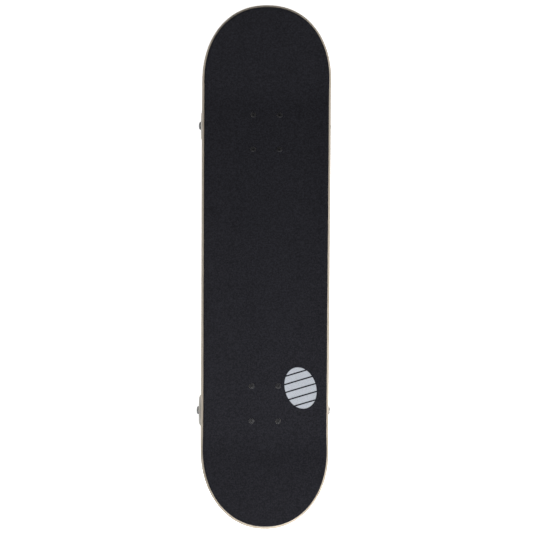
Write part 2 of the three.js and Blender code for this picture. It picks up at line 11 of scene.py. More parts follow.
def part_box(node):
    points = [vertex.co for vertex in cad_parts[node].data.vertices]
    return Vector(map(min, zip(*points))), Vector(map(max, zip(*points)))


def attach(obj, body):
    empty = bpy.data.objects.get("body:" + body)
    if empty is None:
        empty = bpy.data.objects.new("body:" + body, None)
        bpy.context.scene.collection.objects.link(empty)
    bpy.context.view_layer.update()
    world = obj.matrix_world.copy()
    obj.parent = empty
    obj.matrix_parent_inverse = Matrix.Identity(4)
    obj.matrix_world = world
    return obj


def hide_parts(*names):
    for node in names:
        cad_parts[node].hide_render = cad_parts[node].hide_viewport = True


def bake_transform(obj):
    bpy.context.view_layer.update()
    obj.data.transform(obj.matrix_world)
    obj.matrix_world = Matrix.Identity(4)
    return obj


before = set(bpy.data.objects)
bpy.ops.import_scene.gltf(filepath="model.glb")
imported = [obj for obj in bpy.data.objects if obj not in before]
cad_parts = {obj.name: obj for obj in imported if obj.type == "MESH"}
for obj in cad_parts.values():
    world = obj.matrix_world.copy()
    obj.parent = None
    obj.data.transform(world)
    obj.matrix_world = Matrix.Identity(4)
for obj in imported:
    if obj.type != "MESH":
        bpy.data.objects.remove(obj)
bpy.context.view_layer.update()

scene = bpy.context.scene
bpy.ops.object.select_all(action="DESELECT")


# ---- Camera, light and floor ---------------------------------------------------------------
# The board is looked at from above, a little to the left of its middle, as it stands on a white sweep
# that gives off light of its own. Of three soft lamps, the one by the tail is the brightest, so the tape
# pales that way.

camera_place = (-0.078, -0.027, 2.30)
camera_turn = (math.radians(2.77), math.radians(-2.08), math.radians(0.31))
room_light = 0.13
floor_size = 14.0
floor_gap = 0.0006
floor_glow = 0.95

bpy.ops.object.camera_add(location=camera_place, rotation=camera_turn)
camera = bpy.context.object
camera.name = "studio_camera"
camera.data.lens = 95.7
camera.data.sensor_width = 36.0
camera.data.shift_y = -0.1
camera.data.dof.use_dof = False
scene.camera = camera


def soft_lamp(name, place, towards, size, power):
    """A square diffused lamp at a place, facing a point."""
    bpy.ops.object.light_add(type="AREA", location=place)
    lamp = bpy.context.object
    lamp.name = name
    lamp.data.shape = "SQUARE"
    lamp.data.size = size
    lamp.data.energy = power
    lamp.rotation_mode = "QUATERNION"
    lamp.rotation_quaternion = (Vector(towards) - Vector(place)).to_track_quat("-Z", "Y")


soft_lamp("lamp_over_tail", (0.32, -0.80, 1.20), (0.0, -0.2, 0.05), 0.7, 21.0)
soft_lamp("lamp_beyond_nose", (0.2, 2.4, 2.2), (0.0, 0.1, 0.05), 1.8, 2.0)
soft_lamp("lamp_right", (2.3, 0.1, 1.3), (0.0, 0.0, 0.05), 1.4, 3.5)

world = bpy.data.worlds.new("white_room")
scene.world = world
world.use_nodes = True
background = world.node_tree.nodes["Background"]
background.inputs["Color"].default_value = (1.0, 1.0, 1.0, 1.0)
background.inputs["Strength"].default_value = room_light
scene.view_settings.view_transform = "Standard"

bpy.ops.mesh.primitive_plane_add(size=floor_size, location=(0.0, 0.0, -floor_gap))
floor = bpy.context.object
floor.name = "white_floor"
white_sweep = bpy.data.materials.new("white_sweep")
white_sweep.use_nodes = True
sweep_shader = white_sweep.node_tree.nodes["Principled BSDF"]
sweep_shader.inputs["Base Color"].default_value = (0.93, 0.93, 0.93, 1.0)
sweep_shader.inputs["Roughness"].default_value = 0.9
sweep_shader.inputs["Emission Color"].default_value = (1.0, 1.0, 1.0, 1.0)
sweep_shader.inputs["Emission Strength"].default_value = floor_glow
floor.data.materials.append(white_sweep)


# ---- Deck ------------------------------------------------------------------------------------
# Seven rotary-cut maple veneers, every third one laid crossways, glued and pressed in one mould, then
# sawn to the outline, rounded with a router, drilled and sealed with thin satin lacquer.

deck_thickness = 0.011
ply_count = 7
edge_round = 0.0040
kick_gap = 0.012
kick_radius = 0.115
kick_angle = math.radians(20.5)
concave_rise = 0.0095
flat_half_width = 0.033
concave_left_at_tips = 0.2
half_length = 0.400
width_front, width_rear = 0.202, 0.198
curve_length = 0.117
nose_bluntness, tail_bluntness = 2.2, 2.1
straight_share = 0.70
plate_gap = 0.00005
bolt_hole, sink_top, sink_depth = 0.0026, 0.00435, 0.0025
bolt_head_rim, bolt_head_depth = 0.0004, 0.00247
edge_steps = 8
maple_light = (0.59, 0.52, 0.42)
maple_dark = (0.39, 0.325, 0.245)
glue_brown = (0.24, 0.17, 0.11)

ends = ("front", "rear")
rows = ("outer", "inner")
sides = ("left", "right")


def middle_of(node):
    """The middle of a CAD node's box."""
    low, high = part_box(node)
    return (low + high) / 2


bolt_middles = {
    f"{end}_{row}_{hand}": middle_of(f"{end}_{row}_{hand}_bolt")
    for end in ends for row in rows for hand in sides
}
front_truck_y = (bolt_middles["front_outer_left"].y + bolt_middles["front_inner_left"].y) / 2
rear_truck_y = (bolt_middles["rear_outer_left"].y + bolt_middles["rear_inner_left"].y) / 2
nose_kick = bolt_middles["front_outer_left"].y + kick_gap
tail_kick = bolt_middles["rear_outer_left"].y - kick_gap
plate_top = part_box("front_baseplate")[1].z
deck_middle = plate_top + plate_gap + deck_thickness / 2
bolt_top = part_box("front_outer_left_bolt")[1].z
sink_low = bolt_top - bolt_head_rim - bolt_head_depth
spine_nose = half_length - curve_length
spine_tail = curve_length - half_length


def smooth(value):
    """Eased from 0 to 1."""
    value = min(max(value, 0.0), 1.0)
    return value * value * (3 - 2 * value)


def pressed_height(x, y):
    """Height that the mould gives the middle ply."""
    past = max(y - nose_kick, tail_kick - y, 0.0)
    bend = kick_radius * math.sin(kick_angle)
    if past < bend:
        kick = kick_radius - math.sqrt(kick_radius**2 - past**2)
    else:
        kick = kick_radius * (1 - math.cos(kick_angle)) + (past - bend) * math.tan(kick_angle)
    reach = width_front / 2 - flat_half_width
    bow = (reach**2 + concave_rise**2) / (2 * concave_rise)
    out = min(max(abs(x) - flat_half_width, 0.0), reach)
    left = 1 - (1 - concave_left_at_tips) * smooth(past / (half_length - nose_kick))
    return deck_middle + kick + (bow - math.sqrt(bow**2 - out**2)) * left


def pressed_normal(x, y):
    """The direction square to the pressed plies at a point."""
    step = 0.0005
    rise_x = (pressed_height(x + step, y) - pressed_height(x - step, y)) / (2 * step)
    rise_y = (pressed_height(x, y + step) - pressed_height(x, y - step)) / (2 * step)
    return Vector((-rise_x, -rise_y, 1.0)).normalized()


def outline_point(u, v, inset):
    """Where a point of a flat square blank, -1 to 1 each way, comes to lie inside the deck's outline."""
    beyond = (abs(v) - straight_share) / (1 - straight_share)
    y = (v / straight_share + 1) / 2 * (spine_nose - spine_tail) + spine_tail
    if beyond > 0:
        y = spine_nose if v > 0 else spine_tail
    along = min(max((y - rear_truck_y) / (front_truck_y - rear_truck_y), 0.0), 1.0)
    half_width = (width_rear + (width_front - width_rear) * along) / 2 - inset
    if beyond <= 0:
        return u * half_width, y
    px = u * math.sqrt(1 - beyond**2 / 2)
    py = beyond * math.sqrt(1 - u**2 / 2)
    power = nose_bluntness if v > 0 else tail_bluntness
    turn = math.atan2(py, px)
    stretch = (abs(math.cos(turn)) ** power + abs(math.sin(turn)) ** power) ** (-1 / power)
    return px * stretch * half_width, y + math.copysign(py * stretch * (curve_length - inset), v)


def pressed_blank(name, inset, columns, lines):
    """A thin sheet with the deck's outline and its pressed shape, in line with the middle ply."""
    bpy.ops.mesh.primitive_grid_add(x_subdivisions=columns, y_subdivisions=lines, size=2.0)
    blank = bpy.context.object
    blank.name = name
    for corner in blank.data.vertices:
        x, y = outline_point(corner.co.x, corner.co.y, inset)
        corner.co = (x, y, pressed_height(x, y))
    return blank


def select_only(*pieces):
    """Leaves just these pieces selected, the first of them active."""
    bpy.ops.object.select_all(action="DESELECT")
    for piece in pieces:
        piece.select_set(True)
    bpy.context.view_layer.objects.active = pieces[0]


def finish_with(piece, kind, **settings):
    """Puts a modifier on a piece and applies it."""
    select_only(piece)
    modifier = piece.modifiers.new(kind.lower(), kind)
    for setting, value in settings.items():
        setattr(modifier, setting, value)
    bpy.ops.object.modifier_apply(modifier=modifier.name)


def smooth_shaded(piece, degrees=35.0):
    """Shades a piece smooth, apart from edges that are sharper than the angle."""
    select_only(piece)
    bpy.ops.object.shade_smooth_by_angle(angle=math.radians(degrees))
    return piece


def lifted(piece, by):
    """Moves every point of a sheet square to its own surface."""
    normals = [corner.normal.copy() for corner in piece.data.vertices]
    for corner, normal in zip(piece.data.vertices, normals):
        corner.co += normal * by


class Amount:
    """A number that changes over a surface; arithmetic on it adds the Math nodes."""

    def __init__(self, finish, socket):
        self.finish, self.socket = finish, socket

    def maths(self, operation, first, second=0.0):
        links = [part.socket if isinstance(part, Amount) else part for part in (first, second)]
        node = self.finish.node("ShaderNodeMath", {"operation": operation}, {0: links[0], 1: links[1]})
        return Amount(self.finish, node.outputs[0])

    def __add__(self, other):
        return self.maths("ADD", self, other)

    def __sub__(self, other):
        return self.maths("SUBTRACT", self, other)

    def __mul__(self, other):
        return self.maths("MULTIPLY", self, other)

    def __truediv__(self, other):
        return self.maths("DIVIDE", self, other)

    def __pow__(self, other):
        return self.maths("POWER", self, other)

    def __gt__(self, other):
        return self.maths("GREATER_THAN", self, other)

    def __lt__(self, other):
        return self.maths("LESS_THAN", self, other)

    def __abs__(self):
        return self.maths("ABSOLUTE", self)

    def __mod__(self, other):
        return self.maths("FLOORED_MODULO", self, other)

    def ramp(self, low, high, to_low=0.0, to_high=1.0):
        """Eased from one value to another as the number goes from low to high."""
        settings = {"interpolation_type": "SMOOTHSTEP"}
        values = {"Value": self.socket, "From Min": low, "From Max": high}
        values.update({"To Min": to_low, "To Max": to_high})
        return Amount(self.finish, self.finish.node("ShaderNodeMapRange", settings, values).outputs[0])


class Finish:
    """A material being mixed: a Principled shader and what feeds it."""

    def __init__(self, name, **uniform):
        self.material = bpy.data.materials.new(name)
        self.material.use_nodes = True
        self.tree = self.material.node_tree
        self.shader = self.tree.nodes["Principled BSDF"]
        for socket, value in uniform.items():
            self.shader.inputs[socket.replace("_", " ")].default_value = value

    def node(self, kind, settings=None, values=None):
        """Any node: its settings first, then values or links for its sockets."""
        made = self.tree.nodes.new(kind)
        for name, value in (settings or {}).items():
            setattr(made, name, value)
        for name, value in (values or {}).items():
            if isinstance(value, bpy.types.NodeSocket):
                self.tree.links.new(value, made.inputs[name])
            else:
                made.inputs[name].default_value = value
        return made

    def place(self):
        """The point on the piece, in the board's own frame."""
        return self.node("ShaderNodeTexCoord").outputs["Object"]

    def along(self):
        """The three numbers of that point."""
        parts = self.node("ShaderNodeSeparateXYZ", values={0: self.place()})
        return [Amount(self, parts.outputs[axis]) for axis in range(3)]

    def stored(self, name):
        """A number kept on the mesh."""
        made = self.node("ShaderNodeAttribute", {"attribute_name": name, "attribute_type": "GEOMETRY"})
        return Amount(self, made.outputs["Fac"])

    def noise(self, scale, detail=2.0, roughness=0.5, stretch=(1.0, 1.0, 1.0)):
        """Cloudy variation from 0 to 1, scale in cells a metre, stretched along the axes."""
        mapped = self.node("ShaderNodeMapping", values={"Vector": self.place(), "Scale": stretch})
        values = {"Vector": mapped.outputs[0], "Scale": scale, "Detail": detail, "Roughness": roughness}
        return Amount(self, self.node("ShaderNodeTexNoise", values=values).outputs[0])

    def cells(self, scale, output="Distance"):
        """Grains packed side by side: the distance to a grain's middle, or the grain's own colour."""
        made = self.node("ShaderNodeTexVoronoi", values={"Vector": self.place(), "Scale": scale})
        return Amount(self, made.outputs[output])

    def mix(self, share, first, second):
        """One colour or another, by share."""
        made = self.node("ShaderNodeMix", {"data_type": "RGBA"}, {"Factor": share.socket})
        for index, colour in ((6, first), (7, second)):
            if isinstance(colour, bpy.types.NodeSocket):
                self.tree.links.new(colour, made.inputs[index])
            else:
                made.inputs[index].default_value = (*colour, 1.0)
        return made.outputs[2]

    def feed(self, socket, value):
        """Links a colour or an amount to the shader."""
        source = value.socket if isinstance(value, Amount) else value
        self.tree.links.new(source, self.shader.inputs[socket])

    def bumps(self, height, depth):
        """Relief of a real depth, in metres, where the height is 1."""
        values = {"Height": height.socket, "Distance": depth, "Strength": 1.0}
        made = self.node("ShaderNodeBump", values=values)
        self.tree.links.new(made.outputs[0], self.shader.inputs["Normal"])


def coat(piece, finish):
    """Gives a piece one finish all over."""
    piece.data.materials.clear()
    piece.data.materials.append(finish.material)
    return piece


def bored(piece, low_radius, high_radius, low, high):
    """Bores the eight bolt holes in a piece, tapering from one radius to another, between two heights."""
    drills = []
    for place in bolt_middles.values():
        bpy.ops.mesh.primitive_cone_add(
            vertices=32, radius1=low_radius, radius2=high_radius, depth=high - low,
            location=(place.x, place.y, (low + high) / 2))
        drills.append(bpy.context.object)
    select_only(*drills)
    bpy.ops.object.join()
    finish_with(piece, "BOOLEAN", object=drills[0], operation="DIFFERENCE", solver="EXACT")
    bpy.data.objects.remove(drills[0])


maple = Finish("lacquered_maple", Roughness=0.42, Coat_Roughness=0.25)
ply_at = maple.stored("ply_depth") * (ply_count / deck_thickness) + ply_count / 2
within_ply = ply_at % 1.0
crossways = (ply_at % 3.0 > 1.0) * (ply_at % 3.0 < 2.0)
long_grain = maple.noise(60.0, 6.0, 0.65, (5.0, 0.16, 5.0))
fine_grain = maple.noise(420.0, 3.0, 0.6, (3.0, 0.10, 3.0))
broad_bands = maple.noise(7.0, 2.0, 0.5, (3.0, 0.5, 3.0))
grain = long_grain.ramp(0.3, 0.75) * 0.55 + fine_grain.ramp(0.35, 0.8) * 0.3 + broad_bands * 0.35
seam = (abs(within_ply - 0.5)).ramp(0.42, 0.5)
wood = maple.mix(grain * 0.75, maple_light, maple_dark)
wood = maple.mix(crossways * 0.65, wood, maple_dark)
maple.feed("Base Color", maple.mix(seam * 0.75, wood, glue_brown))
maple.feed("Roughness", grain * 0.16 + crossways * 0.15 + 0.34)
maple.bumps(fine_grain * 0.5 + long_grain * 0.3 - seam * 0.5, 0.00012)
maple.shader.inputs["Coat Weight"].default_value = 0.25

deck = pressed_blank("pressed_deck", edge_round, 44, 180)
finish_with(deck, "SOLIDIFY", thickness=deck_thickness, offset=0.0)
bpy.context.tool_settings.mesh_select_mode = (False, True, False)
bpy.ops.object.mode_set(mode="EDIT")
bpy.ops.mesh.select_all(action="DESELECT")
bpy.ops.object.mode_set(mode="OBJECT")
for edge in deck.data.edges:
    first, second = (deck.data.vertices[index] for index in edge.vertices)
    through_the_edge = (first.co - second.co).length > deck_thickness * 0.9
    edge.select = through_the_edge and first.normal.dot(second.normal) < 0.5
bpy.ops.object.mode_set(mode="EDIT")
bpy.ops.mesh.subdivide(number_cuts=edge_steps - 1)
bpy.ops.object.mode_set(mode="OBJECT")
depth = deck.data.attributes.new("ply_depth", "FLOAT", "POINT")
outwards = [corner.normal.copy() for corner in deck.data.vertices]
for corner, outward in zip(deck.data.vertices, outwards):
    x, y, z = corner.co
    square = pressed_normal(x, y)
    level = (z - pressed_height(x, y)) * square.z
    turn = math.pi * (round((level / deck_thickness + 0.5) * edge_steps) / edge_steps - 0.5)
    rounded = deck_thickness / 2 * math.sin(turn)
    if abs(rounded) < deck_thickness * 0.499:
        corner.co += square * (rounded - level) + outward * edge_round * math.cos(turn)
    depth.data[corner.index].value = rounded
blank_skin = deck.data.copy()
bored(deck, bolt_hole, bolt_hole, deck_middle - deck_thickness, deck_middle + deck_thickness)
bored(deck, bolt_hole, sink_top, sink_low, sink_low + sink_depth)
smooth_shaded(coat(deck, maple))
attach(deck, "board")
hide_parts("deck")


# ---- Grip tape -------------------------------------------------------------------------------
# One sheet of black waterproof paper coated with silicon carbide grit, glued on and trimmed with a
# blade over the rounded edge, with a striped oval printed on it. The bolts' heads sit in holes in it.

grip_thickness = 0.0009
glue_thickness = 0.00005
grip_hole = 0.0043
grit_black = (0.0052, 0.0052, 0.0076)
grit_grey = (0.029, 0.029, 0.038)
print_white = (0.52, 0.55, 0.60)
mark_place = (0.055, -0.190)
mark_radius = 0.024
mark_stretch = 1.35
mark_tilt = math.radians(17.0)
stripe_spacing = 0.012
soft_edge = 0.0004
grain_scale = 2300.0
trim_margin = 0.0001

grit = Finish("carbide_grit", Roughness=0.85, Specular_IOR_Level=0.22)
across, lengthways, _ = grit.along()
grains = grit.cells(grain_scale)
sparkle = (grit.cells(grain_scale, "Color") > 0.93) * 0.5
patches = grit.noise(35.0, 3.0, 0.6)
clumps = grit.noise(420.0, 3.0, 0.75)
sheen = grit.noise(2600.0, 2.0, 0.7)
speckle = sheen.ramp(0.52, 0.72)
from_x, from_y = across - mark_place[0], lengthways - mark_place[1]
across_mark = from_x * math.cos(mark_tilt) + from_y * math.sin(mark_tilt)
along_mark = from_y * math.cos(mark_tilt) - from_x * math.sin(mark_tilt)
stretched = along_mark / mark_stretch
from_mark = (across_mark * across_mark + stretched * stretched) ** 0.5
bands = abs((along_mark + mark_radius) % stripe_spacing - stripe_spacing / 2).ramp(0.0046, 0.0052, 1.0, 0.0)
printed = from_mark.ramp(mark_radius - soft_edge, mark_radius + soft_edge, 1.0, 0.0) * bands
printed = printed * sheen.ramp(0.30, 0.42)
greyness = speckle * 0.40 + clumps.ramp(0.38, 0.64) * 0.50 + patches * 0.15
black = grit.mix(greyness, grit_black, grit_grey)
grit.feed("Base Color", grit.mix(printed, black, print_white))
grit.feed("Roughness", speckle * -0.20 - sparkle + 0.90)
grit.bumps(sheen * 0.3 - grains + clumps * 0.4, 0.00032)

grip = bpy.data.objects.new("grip_sheet", blank_skin)
scene.collection.objects.link(grip)
select_only(grip)
bpy.context.tool_settings.mesh_select_mode = (False, False, True)
lowest = deck_thickness / 2 * math.sin(math.pi / 2 - math.pi / edge_steps) - trim_margin
depths = [kept.value for kept in grip.data.attributes["ply_depth"].data]
for face in grip.data.polygons:
    face.select = min(depths[index] for index in face.vertices) < lowest
bpy.ops.object.mode_set(mode="EDIT")
bpy.ops.mesh.delete(type="FACE")
bpy.ops.object.mode_set(mode="OBJECT")
lifted(grip, glue_thickness)
finish_with(grip, "SOLIDIFY", thickness=grip_thickness, offset=1.0)
bored(grip, grip_hole, grip_hole, deck_middle, deck_middle + deck_thickness)
smooth_shaded(coat(grip, grit))
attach(grip, "board")
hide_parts("grip_tape")


# ---- Truck bolts -----------------------------------------------------------------------------
# Eight countersunk machine screws an inch long, steel blackened in oil, with a hexagon socket in a flat
# head. Each is turned, its thread rolled and its socket punched; one is made and the rest are copies.

bolt_shank, bolt_head = 0.0024, 0.0042
bolt_length = 0.0254
bolt_plain_length = 0.0090
bolt_thread_pitch = 0.0008
bolt_socket_flats, bolt_socket_depth = 0.0032, 0.0019
oxide_black, oxide_rubbed = (0.012, 0.012, 0.014), (0.045, 0.045, 0.048)
# near black painted into the hexagon socket as shade, not a colour of the steel
painted_shade_black = (0.006, 0.006, 0.006)
weld_distance = 0.000002
upright = Vector((0.0, 0.0, 1.0))


def turned(name, profile, centre, axis, steps):
    """A piece turned on a lathe: a closed section of (radius, along) points swept round its axis."""
    axis = Vector(axis).normalized()
    across = axis.orthogonal().normalized()
    bpy.ops.mesh.primitive_circle_add(vertices=len(profile))
    piece = bpy.context.object
    piece.name = name
    for corner, (radius, along) in zip(piece.data.vertices, profile):
        corner.co = centre + axis * along + across * radius
    bpy.context.tool_settings.mesh_select_mode = (True, False, False)
    bpy.ops.object.mode_set(mode="EDIT")
    if profile[0][0] == 0.0 and profile[-1][0] == 0.0:
        bpy.ops.mesh.select_all(action="DESELECT")
        bpy.ops.object.mode_set(mode="OBJECT")
        piece.data.vertices[0].select = True
        piece.data.vertices[len(profile) - 1].select = True
        bpy.ops.object.mode_set(mode="EDIT")
        bpy.ops.mesh.delete(type="EDGE_FACE")
    bpy.ops.mesh.select_all(action="SELECT")
    bpy.ops.mesh.spin(steps=steps, angle=math.tau, center=centre, axis=axis)
    bpy.ops.mesh.select_all(action="SELECT")
    bpy.ops.mesh.remove_doubles(threshold=weld_distance)
    bpy.ops.mesh.normals_make_consistent(inside=False)
    bpy.ops.object.mode_set(mode="OBJECT")
    return piece


def threaded(radius, start, end, pitch):
    """The outside of a rolled thread, as section points from start to end along the axis."""
    turns = int(abs(end - start) / pitch)
    way = math.copysign(pitch, end - start)
    depth = pitch * 0.45
    points = []
    for turn in range(turns):
        points += [(radius - depth, start + way * turn), (radius, start + way * (turn + 0.5))]
    return points


def softened(piece, width):
    """Breaks the sharp edges of a piece and smooths what lies between them."""
    limit = {"limit_method": "ANGLE", "angle_limit": math.radians(30.0)}
    finish_with(piece, "BEVEL", width=width, segments=2, **limit)
    return smooth_shaded(piece, 40.0)


def cut_with(piece, tool, operation="DIFFERENCE"):
    """Cuts a piece with a tool, or joins it or keeps what they share, and throws the tool away."""
    finish_with(piece, "BOOLEAN", object=tool, operation=operation, solver="EXACT")
    bpy.data.objects.remove(tool)


def hex_bar(name, flats, length, centre, axis):
    """A hexagonal bar centred on a point along an axis, with two flats square to the world's X."""
    turn = Vector(axis).to_track_quat("Z", "Y").to_euler()
    bpy.ops.mesh.primitive_cylinder_add(
        vertices=6, radius=flats / math.sqrt(3), depth=length, location=centre, rotation=turn)
    bar = bpy.context.object
    bar.name = name
    bpy.ops.object.transform_apply(location=True, rotation=True, scale=True)
    return bar


def copied(piece, name, move):
    """A copy of a piece with a mesh of its own, turned or shifted by a matrix."""
    copy = bpy.data.objects.new(name, piece.data.copy())
    scene.collection.objects.link(copy)
    copy.data.transform(move)
    return copy


def fitted(piece, body, node):
    """Puts a finished piece on its body, in place of its CAD solid."""
    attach(piece, body)
    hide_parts(node)


black_oxide = Finish("black_oxide_steel", Metallic=0.5, Roughness=0.42)
bloom = black_oxide.noise(900.0, 3.0, 0.6)
rub = black_oxide.noise(260.0, 4.0, 0.7)
_, _, up = black_oxide.along()
# Painted shade: the hexagon socket, and all of the bolt below its top face, fade towards near black,
# standing in for the shade inside the recess.
painted_socket_shade = up.ramp(bolt_top - 0.0012, bolt_top - 0.0002, 0.9, 0.0)
oxide = black_oxide.mix(rub.ramp(0.45, 0.72), oxide_black, oxide_rubbed)
black_oxide.feed("Base Color", black_oxide.mix(painted_socket_shade, oxide, painted_shade_black))
black_oxide.feed("Roughness", bloom * 0.25 + 0.42)
black_oxide.bumps(bloom, 0.00003)

head_start = -bolt_head_rim - bolt_head_depth
thread_end = -bolt_length + 0.0004
bolt_profile = [(0.0, -bolt_length), (bolt_shank - 0.0004, -bolt_length)]
bolt_profile += threaded(bolt_shank, thread_end, -bolt_plain_length - 0.0005, bolt_thread_pitch)
bolt_profile += [(bolt_shank, -bolt_plain_length), (bolt_shank, head_start), (bolt_head, -bolt_head_rim)]
bolt_profile += [(bolt_head, -0.0001), (bolt_head - 0.0002, 0.0), (0.0, 0.0)]
first_bolt = Vector((bolt_middles["front_outer_right"].x, bolt_middles["front_outer_right"].y, bolt_top))
bolt = turned("truck_bolt_front_outer_right", bolt_profile, first_bolt, upright, 32)
socket = hex_bar("socket_punch", bolt_socket_flats, 2 * bolt_socket_depth, first_bolt, upright)
cut_with(bolt, socket)
coat(smooth_shaded(bolt, 32.0), black_oxide)
for name, place in bolt_middles.items():
    shift = Matrix.Translation((place.x - first_bolt.x, place.y - first_bolt.y, 0.0))
    piece = bolt if name == "front_outer_right" else copied(bolt, f"truck_bolt_{name}", shift)
    fitted(piece, "board", f"{name}_bolt")


# ---- Lock nuts of the truck bolts --------------------------------------------------------------
# Zinc-plated hexagon nuts, each with a round collar that grips a ring of white nylon, run up tight
# against the baseplate.

nut_flats = 0.0095
nut_hex_share = 0.68
thread_play = 0.00005
zinc_blue, zinc_grey = (0.25, 0.26, 0.28), (0.36, 0.35, 0.33)
nylon_white, nylon_dull = (0.80, 0.82, 0.80), (0.70, 0.73, 0.71)

zinc = Finish("zinc_plated_steel", Metallic=1.0, Roughness=0.3)
passivation = zinc.noise(140.0, 3.0, 0.6)
spangle = zinc.noise(1400.0, 2.0, 0.5)
zinc.feed("Base Color", zinc.mix(passivation.ramp(0.35, 0.7), zinc_blue, zinc_grey))
zinc.feed("Roughness", spangle * 0.16 + passivation * 0.14 + 0.16)
zinc.bumps(spangle, 0.00002)

nylon = Finish("nylon_ring", Roughness=0.45)
nylon.feed("Base Color", nylon.mix(nylon.noise(700.0), nylon_white, nylon_dull))
nylon.bumps(nylon.noise(1500.0), 0.00003)


def lock_nut(name, flats, height, thread, seat, axis):
    """A lock nut whose bearing face is at seat and which stands along axis, and its nylon ring."""
    corner = flats / math.sqrt(3)
    hexagon = height * nut_hex_share
    chamfer = corner - flats / 2
    chamfered = [
        (thread, 0.0), (corner - chamfer, 0.0), (corner, chamfer * 0.6), (corner, hexagon - chamfer * 0.6),
        (corner - chamfer, hexagon), (thread, hexagon)]
    body = hex_bar(name, flats, hexagon, seat + axis * hexagon / 2, axis)
    cut_with(body, turned("chamfered_blank", chamfered, seat, axis, 48), "INTERSECT")
    collar = flats / 2 - 0.0002
    lip = collar - 0.0011
    round_top = [
        (thread, hexagon - 0.0004), (collar, hexagon - 0.0004), (collar, height * 0.86),
        (collar - 0.0004, height * 0.95), (lip, height), (lip - 0.0003, height - 0.0003),
        (thread, height - 0.0003)]
    cut_with(body, turned("collar", round_top, seat, axis, 48), "UNION")
    nylon_bore, nylon_top = thread - thread_play, height - 0.00005
    washer_shape = [
        (nylon_bore, height * 0.80), (lip - 0.0002, height * 0.80), (lip - 0.0002, nylon_top),
        (thread + 0.0003, nylon_top), (nylon_bore, height - 0.0003)]
    ring = turned(f"{name}_nylon", washer_shape, seat, axis, 48)
    return coat(smooth_shaded(body, 30.0), zinc), coat(smooth_shaded(ring, 30.0), nylon)


nut_low, nut_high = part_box("front_outer_right_nut")
nut_height = nut_high.z - nut_low.z
first_seat = Vector((first_bolt.x, first_bolt.y, nut_high.z))
first_nut, first_ring = lock_nut(
    "bolt_nut_front_outer_right", nut_flats, nut_height, bolt_shank + thread_play, first_seat, -upright)
for name, place in bolt_middles.items():
    shift = Matrix.Translation((place.x - first_bolt.x, place.y - first_bolt.y, 0.0))
    first = name == "front_outer_right"
    piece = first_nut if first else copied(first_nut, f"bolt_nut_{name}", shift)
    ring = first_ring if first else copied(first_ring, f"bolt_nut_{name}_nylon", shift)
    fitted(piece, "board", f"{name}_nut")
    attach(ring, "board")


# ---- Baseplates and hangers --------------------------------------------------------------------
# Cast in aluminium alloy, trimmed and tumbled, so every inside corner has a fillet and every edge is
# rounded. The castings are the CAD solids, melted together at their joins.

casting_grain = 0.0007
aluminium_bright, aluminium_dull = (0.72, 0.73, 0.75), (0.57, 0.58, 0.60)
half_turn = Matrix.Rotation(math.pi, 4, "Z")
board_middle = Vector((0.0, (front_truck_y + rear_truck_y) / 2, 0.0))
to_rear = Matrix.Translation(board_middle) @ half_turn @ Matrix.Translation(-board_middle)

cast = Finish("tumbled_aluminium", Metallic=1.0, Roughness=0.38)
orange_peel = cast.noise(520.0, 4.0, 0.6)
tumbled = cast.noise(60.0, 3.0, 0.6)
pores = cast.cells(900.0)
cast.feed("Base Color", cast.mix(tumbled.ramp(0.3, 0.75), aluminium_bright, aluminium_dull))
cast.feed("Roughness", orange_peel * 0.22 + tumbled * 0.16 + 0.20)
cast.bumps(orange_peel * 0.7 + pores.ramp(0.0, 0.25) * 0.3, 0.00010)


def cast_from(node, name):
    """A casting with the shape of a CAD solid and fillets at its joins."""
    casting = copied(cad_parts[node], name, Matrix.Identity(4))
    casting.data.materials.clear()
    select_only(casting)
    bpy.ops.object.mode_set(mode="EDIT")
    bpy.ops.mesh.select_all(action="SELECT")
    bpy.ops.mesh.remove_doubles(threshold=weld_distance)
    bpy.ops.object.mode_set(mode="OBJECT")
    finish_with(casting, "REMESH", mode="VOXEL", voxel_size=casting_grain)
    finish_with(casting, "SMOOTH", factor=0.5, iterations=8)
    return casting


baseplate = coat(smooth_shaded(cast_from("front_baseplate", "baseplate_front"), 60.0), cast)
hanger = coat(smooth_shaded(cast_from("front_hanger", "hanger_front"), 60.0), cast)
fitted(copied(baseplate, "baseplate_rear", to_rear), "board", "rear_baseplate")
fitted(copied(hanger, "hanger_rear", to_rear), "rear_truck", "rear_hanger")
fitted(baseplate, "board", "front_baseplate")
fitted(hanger, "front_truck", "front_hanger")


# ---- Kingpins, washers and bushings ------------------------------------------------------------
# A steel kingpin leans out of each baseplate. On it, from the deck down, sit a washer, a barrel of poured
# urethane, the eye of the hanger, a cone of urethane, a washer and a lock nut that squeezes the stack.

kingpin_tilt = math.radians(25.0)
kingpin_outboard = 0.008
kingpin_radius = 0.00475
kingpin_start, kingpin_end = 0.0075, 0.0677
kingpin_thread = 0.014
fine_pitch = 0.00106
plate_boss = 0.021
seat_gap = 0.0003
washer_thickness, washer_dish = 0.0018, 0.0007
board_washer_radius, road_washer_radius = 0.0145, 0.0125
barrel_radius, barrel_swell = 0.0122, 0.0013
cone_radius, cone_taper = 0.0124, 0.0023
bushing_rim = 0.0009
kingpin_nut_flats, kingpin_nut_height = 0.0143, 0.009
stack_heights = {
    "board_washer": washer_thickness, "board_bushing": 0.0144, "eye": 0.0055,
    "road_bushing": 0.011, "road_washer": washer_thickness, "nut": kingpin_nut_height,
}
stack = {}
depth_now = plate_boss + seat_gap
for name, height in stack_heights.items():
    stack[name] = (depth_now, depth_now + height)
    depth_now += height + seat_gap
kingpin_foot = Vector((0.0, front_truck_y + kingpin_outboard, plate_top))
down_pin = Vector((0.0, -math.sin(kingpin_tilt), -math.cos(kingpin_tilt)))
bushing_red, bushing_pale = (0.30, 0.022, 0.018), (0.40, 0.04, 0.03)

